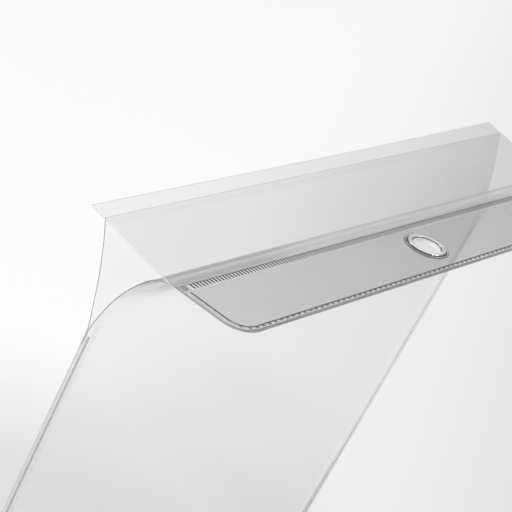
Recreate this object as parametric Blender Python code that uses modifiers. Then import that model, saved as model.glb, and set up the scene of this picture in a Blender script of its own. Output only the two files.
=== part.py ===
"""Hanging information pocket of clear film: a pouch, a header strip with one eyelet, and a rain flap.

Sections are written as (y, z) pairs in the pouch's own plane: y = 0 lies midway between its two
sheets, and z = 0 is where the side welds end and the mouth begins. The whole part is placed with the
eyelet's centre at the origin, +Z up along the pouch and -Y towards the header's free edge.
"""

import math

import bmesh
import bpy

MM = 0.001

# Films
FILM = 0.3 * MM
POCKET_WIDTH = 228 * MM
PANEL_HEIGHT = 272 * MM
PANEL_CORNER_RADIUS = 8 * MM
CORNER_STEPS = 6

# Space between the two sheets of the empty pouch, and clearances between pieces
POUCH_GAP = 0.9 * MM
PLY_GAP = 0.1 * MM
REST_GAP = 0.3 * MM
FOLD_SLIT = 1.0 * MM
LIP_SLIT = 0.5 * MM
FLAP_SLIT = 0.8 * MM

# Arch of the back sheet over the mouth: two arcs, whose leans are measured from vertical
ARCH_ROOT_LEAN = math.radians(4.1)
ARCH_MIDDLE_LEAN = math.radians(36.4)
HEADER_LEAN = math.radians(82.9)
LOWER_ARCH_LENGTH = 29.3 * MM
UPPER_ARCH_LENGTH = 12.1 * MM
ARCH_STEPS = 8

# Lip of the front sheet, one arc that leans outwards
LIP_ROOT_LEAN = math.radians(9)
LIP_RIM_LEAN = math.radians(25)
LIP_LENGTH = 35.5 * MM
LIP_STEPS = 6

# Header and flap
SEAM_DEPTH = 3.2 * MM
HEADER_DEPTH = 22.2 * MM
HEADER_CORNER_RADIUS = 8 * MM
FLAP_LENGTH = 36.5 * MM

# Welds: width of each band, and its distance from the film's edge
SIDE_WELD_WIDTH = 2.4 * MM
SEAM_WELD_WIDTH = 2.6 * MM
HEM_WELD_WIDTH = 2.2 * MM
END_WELD_WIDTH = 2.4 * MM
WELD_EDGE = 0.4 * MM
WELD_END_GAP = 0.4 * MM
SEAM_WELD_MARGIN = 4.5 * MM

# Knurling of the header's welds
KNURL_BASE = 0.12 * MM
KNURL_HEIGHT = 0.25 * MM
SEAM_KNURL_PITCH = 1.5 * MM
HEM_KNURL_PITCH = 2.85 * MM
KNURL_SHARE = 0.4

# Eyelet
EYELET_HOLE_RADIUS = 5 * MM
EYELET_WALL = 0.5 * MM
EYELET_FLANGE_RADIUS = 8 * MM
EYELET_DOME = 0.7 * MM
EYELET_ROLL = 0.25 * MM
EYELET_CLEARANCE = 0.15 * MM
EYELET_FROM_HEM = 13.3 * MM
WASHER_RADIUS = 7.4 * MM
WASHER_THICKNESS = 0.3 * MM
TURN_STEPS = 48
DOME_STEPS = 10
MERGE_DISTANCE = 0.01 * MM

# Sizes that follow from the ones above
HALF_WIDTH = POCKET_WIDTH / 2
BACK_Y = -(POUCH_GAP + FILM) / 2
FRONT_Y = (POUCH_GAP + FILM) / 2
PLY_STEP = FILM + PLY_GAP
STACK_HALF = FILM + PLY_GAP / 2
HEADER_TILT = math.pi / 2 - HEADER_LEAN
BARREL_RADIUS = EYELET_HOLE_RADIUS + EYELET_WALL
PLY_HOLE_RADIUS = BARREL_RADIUS + EYELET_CLEARANCE
HEADER_HEM_Y = -EYELET_FROM_HEM
HEADER_REAR_Y = HEADER_DEPTH - EYELET_FROM_HEM
FOLD_AXIS_Y = HEADER_REAR_Y + FOLD_SLIT / 2


def clear_scene():
    """Removes every object, so that the file holds only the pocket."""
    for existing in list(bpy.data.objects):
        bpy.data.objects.remove(existing, do_unlink=True)


def film_material(name, colour=(0.86, 0.89, 0.9), roughness=0.12, alpha=0.35):
    """Clear, slightly grey film or plastic."""
    material = bpy.data.materials.new(name)
    material.use_nodes = True
    shader = material.node_tree.nodes["Principled BSDF"]
    shader.inputs["Base Color"].default_value = (*colour, 1)
    shader.inputs["Roughness"].default_value = roughness
    shader.inputs["Metallic"].default_value = 0
    shader.inputs["Alpha"].default_value = alpha
    return material


def add_object(name, data, parent, material):
    """Puts new object data into the pocket's collection, under the empty that carries it."""
    added = bpy.data.objects.new(name, data)
    pocket.objects.link(added)
    added.parent = parent
    added.data.materials.append(material)
    return added


def add_axis(name, point, tilt=0.0, parent=None, parent_point=None):
    """An empty at a section point, for a joint's axis or a tilted frame, placed from its parent's."""
    empty = bpy.data.objects.new(name, None)
    pocket.objects.link(empty)
    empty.parent = parent
    origin = parent_point or eyelet_section
    empty.location = (0, point[0] - origin[0], point[1] - origin[1])
    empty.rotation_euler.x = -tilt
    return empty


def arc_path(start, side, lean_from, lean_to, length, steps):
    """Section points of an arc that leaves start at one lean from vertical and ends at another."""
    radius = length / (lean_to - lean_from)
    points = [start]
    for step in range(1, steps + 1):
        lean = lean_from + (lean_to - lean_from) * step / steps
        y = start[0] + side * radius * (math.cos(lean_from) - math.cos(lean))
        z = start[1] + radius * (math.sin(lean) - math.sin(lean_from))
        points.append((y, z))
    return points


def header_point(along, above):
    """Section point from the eyelet in the header's plane: along towards the arch, above its middle."""
    y = eyelet_section[0] + along * math.cos(HEADER_TILT) + above * math.sin(HEADER_TILT)
    z = eyelet_section[1] - along * math.sin(HEADER_TILT) + above * math.cos(HEADER_TILT)
    return y, z


def solidified(name, surface, parent, material):
    """Gives an open surface the film's thickness, half to each side."""
    mesh = bpy.data.meshes.new(name)
    surface.to_mesh(mesh)
    surface.free()
    film = add_object(name, mesh, parent, material)
    thickness = film.modifiers.new("film", "SOLIDIFY")
    thickness.thickness = FILM
    thickness.offset = 0
    thickness.use_even_offset = True
    return film


def extrude_along(surface, edges, steps):
    """Draws edges out step by step, each step a move in the section."""
    for y, z in steps:
        drawn = bmesh.ops.extrude_edge_only(surface, edges=edges)["geom"]
        points = [item for item in drawn if isinstance(item, bmesh.types.BMVert)]
        bmesh.ops.translate(surface, verts=points, vec=(0, y, z))
        edges = [item for item in drawn if isinstance(item, bmesh.types.BMEdge)]


def moves_between(points):
    """The moves that lead from each section point to the next."""
    return [(b[0] - a[0], b[1] - a[1]) for a, b in zip(points, points[1:])]


def film_strip(name, axis, axis_point, profile, material):
    """A film as wide as the pocket, drawn along a section profile."""
    surface = bmesh.new()
    y = profile[0][0] - axis_point[0]
    z = profile[0][1] - axis_point[1]
    ends = [surface.verts.new((x, y, z)) for x in (-HALF_WIDTH, HALF_WIDTH)]
    edge = surface.edges.new(ends)
    extrude_along(surface, [edge], moves_between(profile))
    return solidified(name, surface, axis, material)


def panel_film(name, axis, axis_point, y, profile, material):
    """A flat pouch panel with rounded lower corners, drawn on from its upper edge along a profile."""
    surface = bmesh.new()
    bmesh.ops.create_grid(surface, x_segments=1, y_segments=1, size=0.5)
    for point in surface.verts:
        up = (point.co.y - 0.5) * PANEL_HEIGHT
        point.co = (point.co.x * POCKET_WIDTH, y - axis_point[0], up - axis_point[1])
    top = -axis_point[1]
    upper = [edge for edge in surface.edges if min(end.co.z for end in edge.verts) > top - REST_GAP]
    extrude_along(surface, upper, moves_between(profile))
    lowest = min(point.co.z for point in surface.verts)
    corners = [point for point in surface.verts if point.co.z < lowest + REST_GAP]
    bmesh.ops.bevel(
        surface,
        geom=corners,
        offset=PANEL_CORNER_RADIUS,
        offset_type="OFFSET",
        segments=CORNER_STEPS,
        profile=0.5,
        affect="VERTICES",
    )
    return solidified(name, surface, axis, material)


def outline_plate(name, parent, outlines, thickness, material):
    """A flat plate from closed outlines: the first is its edge and any others are holes."""
    curve = bpy.data.curves.new(name, "CURVE")
    curve.dimensions = "2D"
    curve.fill_mode = "BOTH"
    curve.extrude = thickness / 2
    for outline in outlines:
        spline = curve.splines.new("POLY")
        spline.points.add(len(outline) - 1)
        for point, (x, y) in zip(spline.points, outline):
            point.co = (x, y, 0, 1)
        spline.use_cyclic_u = True
    return add_object(name, curve, parent, material)


def corner(centre, radius, start_quarter):
    """Points of a quarter circle, counter-clockwise from the given quarter turn."""
    points = []
    for step in range(CORNER_STEPS + 1):
        angle = (start_quarter + step / CORNER_STEPS) * math.pi / 2
        points.append((centre[0] + radius * math.cos(angle), centre[1] + radius * math.sin(angle)))
    return points


def circle(radius):
    """Points of a full circle about the eyelet's axis."""
    angles = [2 * math.pi * step / TURN_STEPS for step in range(TURN_STEPS)]
    return [(radius * math.cos(angle), radius * math.sin(angle)) for angle in angles]


def turned(name, parent, profile, material):
    """A ring, from a closed profile of (radius, height) points turned about Z."""
    mesh = bpy.data.meshes.new(name)
    loop = [(index, (index + 1) % len(profile)) for index in range(len(profile))]
    mesh.from_pydata([(radius, 0, height) for radius, height in profile], loop, [])
    ring = add_object(name, mesh, parent, material)
    screw = ring.modifiers.new("turn", "SCREW")
    screw.axis = "Z"
    screw.steps = TURN_STEPS
    screw.render_steps = TURN_STEPS
    screw.use_merge_vertices = True
    screw.merge_threshold = MERGE_DISTANCE
    return ring


def knurled_outline(length, pitch):
    """Side view of a knurled weld: a thin base under square ribs, as many as fit its length."""
    rib = pitch * KNURL_SHARE
    count = int((length - rib) / pitch)
    first = (count - 1) * pitch / 2
    top = KNURL_BASE + KNURL_HEIGHT
    end = length / 2
    points = [(-end, KNURL_BASE), (-end, 0), (end, 0), (end, KNURL_BASE)]
    for index in range(count):
        right = first - index * pitch + rib / 2
        left = right - rib
        points += [(right, KNURL_BASE), (right, top), (left, top), (left, KNURL_BASE)]
    return points


def knurled_weld(name, parent, length, width, pitch, centre, along_x=True):
    """A knurled weld on a film's upper face, along X or across it, at (x, y, z) in its parent."""
    outline = knurled_outline(length, pitch)
    weld = outline_plate(name, parent, [outline], width, film_material(name, roughness=0.3))
    weld.location = centre
    weld.rotation_euler = (math.pi / 2, 0, 0 if along_x else math.pi / 2)
    return weld


def build_header():
    """The header's two plies past the fold, its welds and the eyelet, in the header's tilted plane."""
    frame = add_axis("header_frame", eyelet_section, HEADER_TILT)
    rear = [(HALF_WIDTH, HEADER_REAR_Y), (-HALF_WIDTH, HEADER_REAR_Y)]
    round_x = HALF_WIDTH - HEADER_CORNER_RADIUS
    round_y = HEADER_HEM_Y + HEADER_CORNER_RADIUS
    left = corner((-round_x, round_y), HEADER_CORNER_RADIUS, 2)
    right = corner((round_x, round_y), HEADER_CORNER_RADIUS, 3)
    outlines = [rear + left + right, circle(PLY_HOLE_RADIUS)]
    for name, height in (("back_sheet_header", -PLY_STEP / 2), ("header_top_ply", PLY_STEP / 2)):
        ply = outline_plate(name, frame, outlines, FILM, film_material(name))
        ply.location.z = height

    weld_z = STACK_HALF + PLY_GAP
    hem_length = 2 * (round_x - WELD_END_GAP)
    hem_y = HEADER_HEM_Y + WELD_EDGE + HEM_WELD_WIDTH / 2
    hem = (0, hem_y, weld_z)
    knurled_weld("hem_weld", frame, hem_length, HEM_WELD_WIDTH, HEM_KNURL_PITCH, hem)
    end_length = HEADER_REAR_Y - FOLD_SLIT - round_y - WELD_END_GAP
    end_y = round_y + WELD_END_GAP + end_length / 2
    end_x = HALF_WIDTH - WELD_EDGE - END_WELD_WIDTH / 2
    for side, x in (("left", -end_x), ("right", end_x)):
        name = f"header_end_weld_{side}"
        place = (x, end_y, weld_z)
        knurled_weld(name, frame, end_length, END_WELD_WIDTH, SEAM_KNURL_PITCH, place, False)
    build_eyelet(frame)


def build_eyelet(frame):
    """The domed flange with its rolled barrel, and the washer that the roll holds under the header."""
    seat = STACK_HALF + PLY_GAP
    washer_top = -STACK_HALF - PLY_GAP
    washer_bottom = washer_top - WASHER_THICKNESS
    roll_middle = washer_bottom - PLY_GAP - EYELET_ROLL
    dome_half = (EYELET_FLANGE_RADIUS - EYELET_HOLE_RADIUS) / 2
    dome_radius = EYELET_HOLE_RADIUS + dome_half

    profile = [(EYELET_FLANGE_RADIUS, seat), (BARREL_RADIUS, seat)]
    profile += [(BARREL_RADIUS, roll_middle + EYELET_ROLL)]
    roll_radius = BARREL_RADIUS + EYELET_ROLL
    for step in range(DOME_STEPS + 1):
        angle = math.pi / 2 - math.pi * step / DOME_STEPS
        across = EYELET_ROLL * math.cos(angle)
        profile.append((roll_radius + across, roll_middle + EYELET_ROLL * math.sin(angle)))
    profile.append((EYELET_HOLE_RADIUS, roll_middle - EYELET_ROLL))
    for step in range(DOME_STEPS):
        angle = math.pi - math.pi * step / DOME_STEPS
        height = seat + EYELET_DOME * math.sin(angle)
        profile.append((dome_radius + dome_half * math.cos(angle), height))
    clear = film_material("eyelet_flange", roughness=0.05, alpha=0.5)
    turned("eyelet_flange", frame, profile, clear)

    washer = [(WASHER_RADIUS, washer_top), (WASHER_RADIUS, washer_bottom)]
    washer += [(PLY_HOLE_RADIUS, washer_bottom), (PLY_HOLE_RADIUS, washer_top)]
    clear = film_material("eyelet_washer", roughness=0.05, alpha=0.5)
    turned("eyelet_washer", frame, washer, clear)


def build_pouch():
    """The back sheet with its arch and seam strip, the front panel, and the welds that join them."""
    axis = add_axis("header_fold_axis", fold_axis)
    seam_end = header_point(FOLD_AXIS_Y + FOLD_SLIT / 2, -PLY_STEP / 2)
    back = arch + [seam_end]
    panel_film("back_sheet", axis, fold_axis, BACK_Y, back, film_material("back_sheet"))
    panel_film("front_sheet", axis, fold_axis, FRONT_Y, [], film_material("front_sheet"))

    seam = add_axis("seam_frame", header_point(SEAM_MIDDLE_Y, 0), HEADER_TILT, axis, fold_axis)
    half = SEAM_DEPTH / 2
    strip = [(HALF_WIDTH, half), (-HALF_WIDTH, half), (-HALF_WIDTH, -half), (HALF_WIDTH, -half)]
    root = outline_plate("flap_root_strip", seam, [strip], FILM, film_material("flap_root_strip"))
    root.location.z = PLY_STEP / 2
    length = POCKET_WIDTH - 2 * SEAM_WELD_MARGIN
    place = (0, 0, STACK_HALF + PLY_GAP)
    knurled_weld("flap_seam_weld", seam, length, SEAM_WELD_WIDTH, SEAM_KNURL_PITCH, place)
    build_pouch_welds(axis)


def build_pouch_welds(axis):
    """Flat welds between the two sheets: one along each side, and one round the lower edge."""
    thickness = POUCH_GAP - 2 * PLY_GAP
    width = SIDE_WELD_WIDTH
    corner_z = PANEL_CORNER_RADIUS - PANEL_HEIGHT
    inner = HALF_WIDTH - width
    middle = HALF_WIDTH - width / 2
    right_weld = [(inner, corner_z + WELD_END_GAP), (HALF_WIDTH, corner_z + WELD_END_GAP)]
    right_weld += corner((middle, -width / 2), width / 2, 0)
    right_weld += corner((middle, -width / 2), width / 2, 1)[1:]
    left_weld = [(-x, z) for x, z in right_weld]

    round_x = HALF_WIDTH - PANEL_CORNER_RADIUS
    left_centre, right_centre = (-round_x, corner_z), (round_x, corner_z)
    outer = corner(left_centre, PANEL_CORNER_RADIUS, 2)
    outer += corner(right_centre, PANEL_CORNER_RADIUS, 3)
    within = corner(left_centre, PANEL_CORNER_RADIUS - width, 2)
    within += corner(right_centre, PANEL_CORNER_RADIUS - width, 3)
    bottom = outer + within[::-1]
    welds = {"side_weld_right": right_weld, "side_weld_left": left_weld, "bottom_weld": bottom}
    for name, outline in welds.items():
        weld = outline_plate(name, axis, [outline], thickness, film_material(name, roughness=0.3))
        weld.rotation_euler.x = math.pi / 2
        weld.location = (0, -fold_axis[0], -fold_axis[1])


def build_lip():
    """The front sheet's free lip, which leans out from the ends of the side welds."""
    axis = add_axis("lip_axis", lip_axis)
    film_strip("front_sheet_lip", axis, lip_axis, lip, film_material("front_sheet_lip"))


def build_flap():
    """The free flap, lying from the seam across the mouth to just above the lip's rim."""
    axis = add_axis("flap_axis", flap_axis)
    rim_rise = FILM / 2 * math.sin(LIP_RIM_LEAN)
    over_rim = (lip[-1][0], lip[-1][1] + rim_rise + REST_GAP + FILM / 2)
    slope = math.atan2(over_rim[1] - flap_axis[1], over_rim[0] - flap_axis[0])
    reach = (FLAP_SLIT / 2, FLAP_SLIT / 2 + FLAP_LENGTH)
    y, z = flap_axis
    profile = [(y + far * math.cos(slope), z + far * math.sin(slope)) for far in reach]
    film_strip("flap", axis, flap_axis, profile, film_material("flap"))


# The arch's section, up to the rear edge of the flap seam
arch_root = (BACK_Y, 0)
arch = arc_path(arch_root, -1, ARCH_ROOT_LEAN, ARCH_MIDDLE_LEAN, LOWER_ARCH_LENGTH, ARCH_STEPS)
arch += arc_path(arch[-1], -1, ARCH_MIDDLE_LEAN, HEADER_LEAN, UPPER_ARCH_LENGTH, ARCH_STEPS)[1:]

# The header goes on in a straight line: the eyelet's centre, midway through its two plies
SEAM_MIDDLE_Y = FOLD_AXIS_Y + FOLD_SLIT / 2 + SEAM_DEPTH / 2
SEAM_REAR_Y = SEAM_MIDDLE_Y + SEAM_DEPTH / 2
eyelet_section = (
    arch[-1][0] - SEAM_REAR_Y * math.cos(HEADER_TILT) + PLY_STEP / 2 * math.sin(HEADER_TILT),
    arch[-1][1] + SEAM_REAR_Y * math.sin(HEADER_TILT) + PLY_STEP / 2 * math.cos(HEADER_TILT),
)

# Joint axes
fold_axis = header_point(FOLD_AXIS_Y, 0)
flap_axis = header_point(SEAM_REAR_Y + FLAP_SLIT / 2, PLY_STEP / 2)
lip_axis = (FRONT_Y, LIP_SLIT / 2)
lip_root = (FRONT_Y, LIP_SLIT)
lip = arc_path(lip_root, 1, LIP_ROOT_LEAN, LIP_RIM_LEAN, LIP_LENGTH, LIP_STEPS)

clear_scene()
pocket = bpy.data.collections.new("hanging_information_pocket")
bpy.context.scene.collection.children.link(pocket)
build_header()
build_pouch()
build_lip()
build_flap()
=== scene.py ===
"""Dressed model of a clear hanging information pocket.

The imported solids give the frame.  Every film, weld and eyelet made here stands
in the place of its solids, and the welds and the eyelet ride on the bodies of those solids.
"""

import logging
import math
from bisect import bisect_right
from collections.abc import Callable, Iterator, Mapping, Sequence
from contextlib import contextmanager
from dataclasses import dataclass
from enum import Enum
from functools import partial
from itertools import accumulate

import bmesh
import bpy
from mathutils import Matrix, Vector


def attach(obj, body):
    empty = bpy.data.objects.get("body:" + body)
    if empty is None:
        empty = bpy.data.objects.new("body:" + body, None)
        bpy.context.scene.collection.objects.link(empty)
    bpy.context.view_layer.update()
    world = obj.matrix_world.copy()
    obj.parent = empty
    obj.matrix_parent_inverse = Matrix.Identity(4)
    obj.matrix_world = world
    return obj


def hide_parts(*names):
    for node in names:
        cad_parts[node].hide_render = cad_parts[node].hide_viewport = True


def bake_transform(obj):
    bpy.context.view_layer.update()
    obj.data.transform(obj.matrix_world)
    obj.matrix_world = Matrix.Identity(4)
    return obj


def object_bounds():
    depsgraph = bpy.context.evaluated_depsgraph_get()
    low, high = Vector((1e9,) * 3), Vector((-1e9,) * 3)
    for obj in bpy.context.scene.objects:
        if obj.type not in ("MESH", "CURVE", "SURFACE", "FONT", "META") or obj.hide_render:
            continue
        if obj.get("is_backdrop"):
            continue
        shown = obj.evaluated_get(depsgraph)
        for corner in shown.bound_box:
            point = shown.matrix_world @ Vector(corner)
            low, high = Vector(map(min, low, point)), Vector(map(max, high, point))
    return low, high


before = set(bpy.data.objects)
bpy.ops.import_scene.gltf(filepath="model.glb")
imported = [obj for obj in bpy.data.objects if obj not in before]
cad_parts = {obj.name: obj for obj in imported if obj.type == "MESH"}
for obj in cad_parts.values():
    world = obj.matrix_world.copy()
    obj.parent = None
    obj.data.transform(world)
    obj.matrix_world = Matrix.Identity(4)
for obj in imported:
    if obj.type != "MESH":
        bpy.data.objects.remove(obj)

LOG = logging.getLogger("pocket")

# Pieces are made in millimetres, and shrunk to metres when they are finished.
MM = 0.001
TOLERANCE = 0.01
FILM = 0.3
WIDTH = 228.0
HALF_WIDTH = WIDTH / 2
PANEL = 272.0
CORNER = 8.0
HALF_FLAT = HALF_WIDTH - CORNER
HEM = -13.3  # From the eyelet's middle.
POUCH_Y = 33.7398  # The pouch's middle plane.
WELD_ENDS_Z = -34.8916  # The upper ends of the side welds.
TILT_DEGREES = 7.1  # The header's tilt from level.
HEADER_TILT = math.radians(TILT_DEGREES)
LEAN_TO_HEM = 90.0 - TILT_DEGREES
LEAN_TO_FLAP = LEAN_TO_HEM - 180.0

FILM_SMOOTHING = 35.0
CORNER_STEPS = 10
PUNCH_FACETS = 64
PUNCH_DEPTH = 4.0
FACING_UP = 0.5
NODE_SPACING = 200.0

Shape = bpy.types.Object
Material = bpy.types.Material
Owner = Material | bpy.types.World
Socket = bpy.types.NodeSocket
Part = bmesh.types.BMVert | bmesh.types.BMFace
Pair = tuple[float, float]
Point = tuple[float, float, float]
Colour = tuple[float, float, float]
Span = tuple[float, float, float]
Feed = Socket | float | tuple[float, ...]

ALONG_X: Point = (1.0, 0.0, 0.0)
ALONG_Y: Point = (0.0, 1.0, 0.0)


class Body(Enum):
    """The bodies that the pieces ride on."""

    HEADER = "header"
    POUCH = "pouch"
    FLAP = "flap"
    LIP = "lip"


class Slot(Enum):
    """The record's material slots."""

    FILM = "clear_film"
    WELD = "weld"
    EYELET = "eyelet_plastic"


class Face(Enum):
    """The two outer faces of the pouch, by the way they look along Y."""

    BACK = -1.0
    FRONT = 1.0


def smooth(value: float) -> float:
    """Smooth step from 0 to 1, as the value goes from 0 to 1."""
    t = min(max(value, 0.0), 1.0)
    return t * t * (3.0 - 2.0 * t)


def stations(*spans: Span) -> list[float]:
    """Places for cuts, evenly spread in each span.

    Args:
        spans: For each span its start, its end and the step between cuts.

    Returns:
        The sorted places, with both ends of every span.
    """
    places: set[float] = set()
    for first, last, step in spans:
        count = max(1, round((last - first) / step))
        places.update(round(first + (last - first) * k / count, 4) for k in range(count + 1))
    return sorted(places)


RIGHT_COLUMNS = stations((0.0, 96.0, 8.0), (96.0, 106.0, 2.0), (106.0, 113.5, 0.75))
COLUMNS = [-place for place in reversed(RIGHT_COLUMNS[1:])] + RIGHT_COLUMNS


def header_point(x: float, v: float, w: float) -> Point:
    """A point of the tilted header in the shared frame, all in millimetres.

    Args:
        x: Place along the pocket's width.
        v: Distance from the eyelet's middle towards the arch.
        w: Height above the middle of the two plies.

    Returns:
        The point's x, y and z.
    """
    cos, sin = math.cos(HEADER_TILT), math.sin(HEADER_TILT)
    return (x, v * cos + w * sin, w * cos - v * sin)


def grey(level: float) -> Colour:
    """A grey of this level."""
    return (level, level, level)


@dataclass(frozen=True)
class Run:
    """One stretch of a film's side view, with its lean from upright at both ends."""

    length: float
    lean_from: float = 0.0
    lean_to: float = 0.0


@dataclass(frozen=True)
class FilmPath:
    """A film's side view: where it starts, and the runs that follow one another."""

    start: Pair
    runs: tuple[Run, ...]

    @property
    def length(self) -> float:
        """Length of the film from end to end."""
        return sum(run.length for run in self.runs)

    def at(self, distance: float) -> Point:
        """The film's middle at a distance from its start.

        Args:
            distance: Millimetres along the film.

        Returns:
            The point's y and z, and the lean there in radians.
        """
        y, z = self.start
        lean = 0.0
        for run in self.runs:
            part = distance if run is self.runs[-1] else min(distance, run.length)
            first, last = math.radians(run.lean_from), math.radians(run.lean_to)
            lean = first + (last - first) * part / run.length
            if first == last:
                y -= math.sin(first) * part
                z += math.cos(first) * part
            else:
                radius = run.length / (last - first)
                y += (math.cos(lean) - math.cos(first)) * radius
                z += (math.sin(lean) - math.sin(first)) * radius
            distance -= part
            if distance <= 0:
                break
        return y, z, lean


@dataclass(frozen=True)
class EdgeLine:
    """A weld's middle line: down one side of a film, round its corners and up the other."""

    inset: float
    base: float
    leg: float

    @property
    def radius(self) -> float:
        """Radius of the line round a corner."""
        return CORNER - self.inset

    @property
    def arc(self) -> float:
        """Length of the line round one corner."""
        return self.radius * math.pi / 2

    @property
    def length(self) -> float:
        """Length of the line from one upper end to the other."""
        return 2 * (HALF_FLAT + self.arc + self.leg)

    def at(self, along: float, across: float) -> Pair:
        """A place on the weld.

        Args:
            along: Distance along the line, from the middle of the film's edge.
            across: Distance from the line, away from the edge.

        Returns:
            The place along the film's width, and its height.
        """
        rest = abs(along) - HALF_FLAT
        turn = min(max(rest / self.radius, 0.0), math.pi / 2)
        reach = self.radius - across
        x = HALF_FLAT + min(rest, 0.0) + reach * math.sin(turn)
        rise = CORNER - reach * math.cos(turn) + max(rest - self.arc, 0.0)
        return math.copysign(x, along), self.base + rise


def take(*pieces: Shape) -> None:
    """Selects pieces alone and makes the first one active.

    Args:
        pieces: The pieces, or none, so that an operator meets only what it adds.
    """
    bpy.ops.object.select_all(action="DESELECT")
    for piece in pieces:
        piece.select_set(True)
    bpy.context.view_layer.objects.active = pieces[0] if pieces else None


@contextmanager
def editing(piece: Shape) -> Iterator[None]:
    """Edit mode on one piece, with all of it selected at first.

    Args:
        piece: The piece to edit.
    """
    take(piece)
    bpy.ops.object.mode_set(mode="EDIT")
    bpy.ops.mesh.select_mode(type="VERT")
    bpy.ops.mesh.select_all(action="SELECT")
    yield
    bpy.ops.object.mode_set(mode="OBJECT")


def named(name: str) -> Shape:
    """Names the active piece.

    Args:
        name: Its name.

    Returns:
        The piece.
    """
    piece = bpy.context.active_object
    piece.name = piece.data.name = name
    return piece


def select(piece: Shape, kind: str, test: Callable[[Part], bool]) -> None:
    """Selects the points or faces that pass a test, in edit mode.

    Args:
        piece: The piece in edit mode.
        kind: VERT for points, FACE for faces.
        test: Says whether a point or face is wanted.
    """
    bpy.ops.mesh.select_mode(type=kind)
    bpy.ops.mesh.select_all(action="DESELECT")
    mesh = bmesh.from_edit_mesh(piece.data)
    mesh.normal_update()
    for part in mesh.verts if kind == "VERT" else mesh.faces:
        part.select = test(part)
    mesh.select_flush_mode()
    bmesh.update_edit_mesh(piece.data)


def extrude(rise: float) -> None:
    """Extrudes what is selected in edit mode straight up."""
    bpy.ops.mesh.extrude_region_move(TRANSFORM_OT_translate={"value": (0.0, 0.0, rise)})


def face_out() -> None:
    """Turns all normals outwards, in edit mode."""
    bpy.ops.mesh.select_all(action="SELECT")
    bpy.ops.mesh.normals_make_consistent(inside=False)


def blank(name: str, width: float, length: float) -> Shape:
    """A flat blank, centred across X and starting at Y 0.

    Args:
        name: Name of the piece.
        width: Size along X.
        length: Size along Y.

    Returns:
        The new piece.
    """
    take()
    bpy.ops.mesh.primitive_plane_add(size=1.0)
    piece = named(name)
    with editing(piece):
        bpy.ops.transform.resize(value=(width, length, 1.0))
        bpy.ops.transform.translate(value=(0.0, length / 2, 0.0))
    return piece


def round_corners(piece: Shape, radius: float, test: Callable[[Vector], bool]) -> None:
    """Rounds the corners of a blank.

    Args:
        piece: The blank.
        radius: Radius of the corners.
        test: Says whether the corner at a place is rounded.
    """
    with editing(piece):
        select(piece, "VERT", lambda point: test(point.co))
        bpy.ops.mesh.bevel(offset=radius, segments=CORNER_STEPS, affect="VERTICES")


def cut(piece: Shape, places: Sequence[float], normal: Point) -> None:
    """Cuts straight lines across a blank, where it will bend.

    Args:
        piece: The blank.
        places: Distance of each line from the origin.
        normal: Direction along which the places are measured.
    """
    with editing(piece):
        for place in places:
            bpy.ops.mesh.select_all(action="SELECT")
            spot = tuple(part * place for part in normal)
            bpy.ops.mesh.bisect(plane_co=spot, plane_no=normal)


def move_points(piece: Shape, where: Callable[[Vector], Point]) -> None:
    """Moves every point of a piece to its new place.

    Args:
        piece: The piece to shape.
        where: Gives a point's new place from its old one.
    """
    for point in piece.data.vertices:
        point.co = where(point.co.copy())
    piece.data.update()


def apply_modifiers(piece: Shape) -> None:
    """Applies the modifiers of a piece, in order.

    Args:
        piece: The piece.
    """
    take(piece)
    for name in [modifier.name for modifier in piece.modifiers]:
        bpy.ops.object.modifier_apply(modifier=name)


def punch(piece: Shape, radius: float) -> None:
    """Punches the eyelet's hole through a film at the header's tilt.

    Args:
        piece: The film.
        radius: Radius of the hole.
    """
    take()
    bpy.ops.mesh.primitive_cylinder_add(
        vertices=PUNCH_FACETS, radius=radius, depth=PUNCH_DEPTH,
        rotation=(-HEADER_TILT, 0.0, 0.0),
    )
    tool = named(piece.name + "_punch")
    hole = piece.modifiers.new("hole", "BOOLEAN")
    hole.operation = "DIFFERENCE"
    hole.solver = "EXACT"
    hole.object = tool
    apply_modifiers(piece)
    bpy.data.meshes.remove(tool.data)


def dress(piece: Shape, *materials: Material) -> None:
    """Gives a piece its materials, in the order of its faces' numbers.

    Args:
        piece: The finished piece.
        materials: One material for each number.
    """
    numbers = [face.material_index for face in piece.data.polygons]
    piece.data.materials.clear()
    for material in materials:
        piece.data.materials.append(material)
    for face, number in zip(piece.data.polygons, numbers):
        face.material_index = min(number, len(materials) - 1)


def shrink(piece: Shape, angle: float) -> Shape:
    """Shrinks a piece from millimetres to metres and shades it.

    Args:
        piece: The finished shape.
        angle: Edges sharper than this, in degrees, stay sharp.

    Returns:
        The same piece.
    """
    take(piece)
    piece.scale = (MM, MM, MM)
    bpy.ops.object.transform_apply(location=False, rotation=False, scale=True)
    bpy.ops.object.shade_smooth_by_angle(angle=math.radians(angle))
    take()
    return piece


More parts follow.
